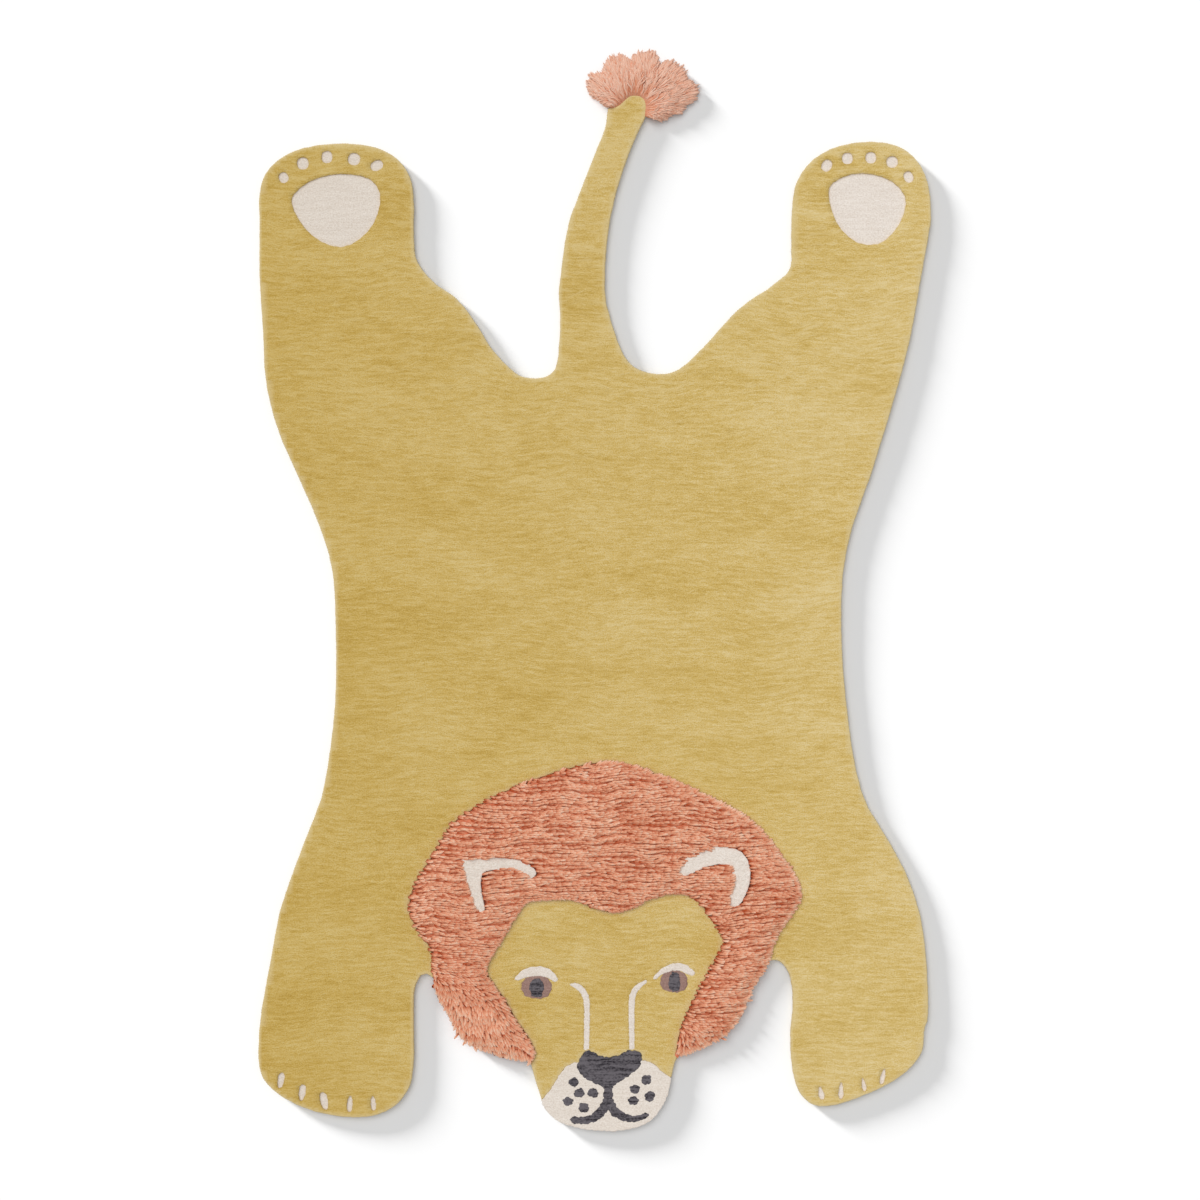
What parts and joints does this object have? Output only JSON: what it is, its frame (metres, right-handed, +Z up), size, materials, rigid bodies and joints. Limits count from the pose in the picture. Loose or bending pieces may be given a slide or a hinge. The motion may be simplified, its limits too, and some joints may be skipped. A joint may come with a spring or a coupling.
{
  "type": "lion shaped kids rug",
  "caption": "Flat wool floor rug cut in the outline of a lion, with a low-pile hide and face, a shaggy mane and a tail that ends in a tuft of long yarn.",
  "frame": {"origin": "on the floor under the middle of the rug's box", "axes": "+Z up, +Y towards the tail, the nose towards -Y"},
  "size_m": [0.9462, 1.5226, 0.0328],
  "materials": {
    "ochre": "low cut wool pile, streaked",
    "coral": "long wool shag",
    "cream": "undyed wool pile",
    "charcoal": "dark wool pile",
    "brown": "brown wool pile"
  },
  "bodies": {
    "root": {"rug_body": "ochre", "mane": "coral", "tail_tuft": "coral", "ear_left": "cream", "ear_right": "cream", "muzzle": "cream", "pad_left": "cream", "pad_right": "cream", "toe_left_1": "cream", "toe_left_2": "cream", "toe_left_3": "cream", "toe_left_4": "cream", "toe_left_5": "cream", "toe_right_1": "cream", "toe_right_2": "cream", "toe_right_3": "cream", "toe_right_4": "cream", "toe_right_5": "cream", "claw_left_1": "cream", "claw_left_2": "cream", "claw_left_3": "cream", "claw_left_4": "cream", "claw_left_5": "cream", "claw_right_1": "cream", "claw_right_2": "cream", "claw_right_3": "cream", "claw_right_4": "cream", "brow_left": "cream", "brow_right": "cream", "bridge_left": "cream", "bridge_right": "cream", "iris_left": "brown", "iris_right": "brown", "pupil_left": "charcoal", "pupil_right": "charcoal", "nose_mouth": "charcoal", "whisker_spot_1": "charcoal", "whisker_spot_2": "charcoal", "whisker_spot_3": "charcoal", "whisker_spot_4": "charcoal", "whisker_spot_5": "charcoal", "whisker_spot_6": "charcoal", "whisker_spot_7": "charcoal", "whisker_spot_8": "charcoal", "whisker_spot_9": "charcoal"}
  },
  "joints": []
}
